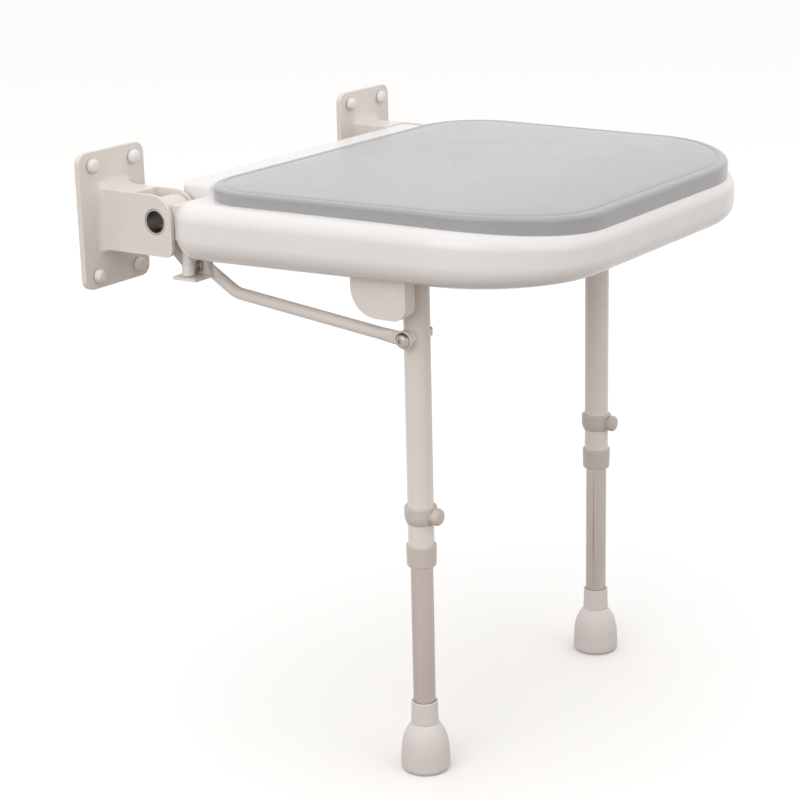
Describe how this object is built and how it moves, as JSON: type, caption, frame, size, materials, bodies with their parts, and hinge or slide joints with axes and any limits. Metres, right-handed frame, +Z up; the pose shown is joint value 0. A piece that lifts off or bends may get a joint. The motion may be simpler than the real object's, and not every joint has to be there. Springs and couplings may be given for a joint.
{
  "type": "fold-up shower seat",
  "caption": "Wall-mounted fold-up shower seat with a padded top, two hinged brackets, link bars and two telescopic legs.",
  "frame": {"origin": "on the wall plane, midway between the two wall plates, at the height of the plates' centres", "axes": "+X to the right as seen from the front, -Y away from the wall, +Z up"},
  "size_m": [0.531, 0.508, 0.604],
  "materials": {
    "enamel": "semi-gloss powder coat",
    "shell": "glossy moulding",
    "pad": "glossy integral-skin foam",
    "steel": "satin",
    "chrome": "polished",
    "nylon": "smooth",
    "cream": "smooth",
    "rubber": "matt"
  },
  "bodies": {
    "wall": {"wall_bracket_left": "enamel", "wall_bracket_right": "enamel", "hinge_pin_left": "steel", "hinge_pin_right": "steel", "cap_washers_left": "steel", "cap_washers_right": "steel", "screw_caps_left": "cream", "screw_caps_right": "cream", "link_rear_bolt_left": "steel", "link_rear_bolt_right": "steel", "link_rear_nut_left": "steel", "link_rear_nut_right": "steel"},
    "seat": {"seat_frame": "enamel", "seat_shell": "shell", "base_cover": "shell", "seat_screws": "steel", "seat_pad": "pad", "hinge_knuckle_left": "enamel", "hinge_knuckle_right": "enamel", "hinge_bushes_left": "nylon", "hinge_bushes_right": "nylon", "levelling_screw_left": "steel", "levelling_screw_right": "steel", "levelling_cap_left": "nylon", "levelling_cap_right": "nylon", "leg_bracket_left": "enamel", "leg_bracket_right": "enamel", "leg_block_left": "enamel", "leg_block_right": "enamel", "leg_pivot_pin_left": "steel", "leg_pivot_pin_right": "steel"},
    "leg_left": {"leg_tube_left": "enamel", "leg_head_left": "enamel", "pivot_bush_left": "nylon", "link_bolt_left": "steel", "link_nut_left": "steel", "link_spacer_left": "nylon", "height_collar_left": "cream", "knob_spring_left": "steel", "tube_end_bush_left": "cream"},
    "link_left": {"link_bar_left": "enamel"},
    "lower_leg_left": {"inner_tube_left": "chrome", "rubber_foot_left": "rubber", "foot_washer_left": "steel"},
    "knob_left": {"height_knob_left": "cream"},
    "leg_right": {"leg_tube_right": "enamel", "leg_head_right": "enamel", "pivot_bush_right": "nylon", "link_bolt_right": "steel", "link_nut_right": "steel", "link_spacer_right": "nylon", "height_collar_right": "cream", "knob_spring_right": "steel", "tube_end_bush_right": "cream"},
    "link_right": {"link_bar_right": "enamel"},
    "lower_leg_right": {"inner_tube_right": "chrome", "rubber_foot_right": "rubber", "foot_washer_right": "steel"},
    "knob_right": {"height_knob_right": "cream"}
  },
  "joints": [
    {"name": "seat_fold", "type": "hinge", "parent": "wall", "child": "seat", "pos_m": [0, -0.075, 0.004], "axis": [-1, 0, 0], "range_deg": [0, 90]},
    {"name": "leg_swing_left", "type": "hinge", "parent": "seat", "child": "leg_left", "pos_m": [-0.174, -0.313, -0.043], "axis": [1, 0, 0], "range_deg": [0, 90]},
    {"name": "link_swing_left", "type": "hinge", "parent": "wall", "child": "link_left", "pos_m": [-0.195, -0.097, -0.043], "axis": [-1, 0, 0], "range_deg": [0, 90]},
    {"name": "leg_extend_left", "type": "slide", "parent": "leg_left", "child": "lower_leg_left", "axis": [0, 0, -1], "range_m": [0, 0.1]},
    {"name": "height_knob_left", "type": "slide", "parent": "leg_left", "child": "knob_left", "axis": [0, -1, 0], "range_m": [0, 0.003], "stiffness_N_per_m": 300, "springref_m": -0.002},
    {"name": "leg_swing_right", "type": "hinge", "parent": "seat", "child": "leg_right", "pos_m": [0.174, -0.313, -0.043], "axis": [1, 0, 0], "range_deg": [0, 90]},
    {"name": "link_swing_right", "type": "hinge", "parent": "wall", "child": "link_right", "pos_m": [0.195, -0.097, -0.043], "axis": [-1, 0, 0], "range_deg": [0, 90]},
    {"name": "leg_extend_right", "type": "slide", "parent": "leg_right", "child": "lower_leg_right", "axis": [0, 0, -1], "range_m": [0, 0.1]},
    {"name": "height_knob_right", "type": "slide", "parent": "leg_right", "child": "knob_right", "axis": [0, -1, 0], "range_m": [0, 0.003], "stiffness_N_per_m": 300, "springref_m": -0.002}
  ],
  "couplings": [
    {"joint": "leg_swing_left", "follows": "seat_fold", "ratio": 1},
    {"joint": "link_swing_left", "follows": "seat_fold", "ratio": 1},
    {"joint": "leg_swing_right", "follows": "seat_fold", "ratio": 1},
    {"joint": "link_swing_right", "follows": "seat_fold", "ratio": 1}
  ]
}
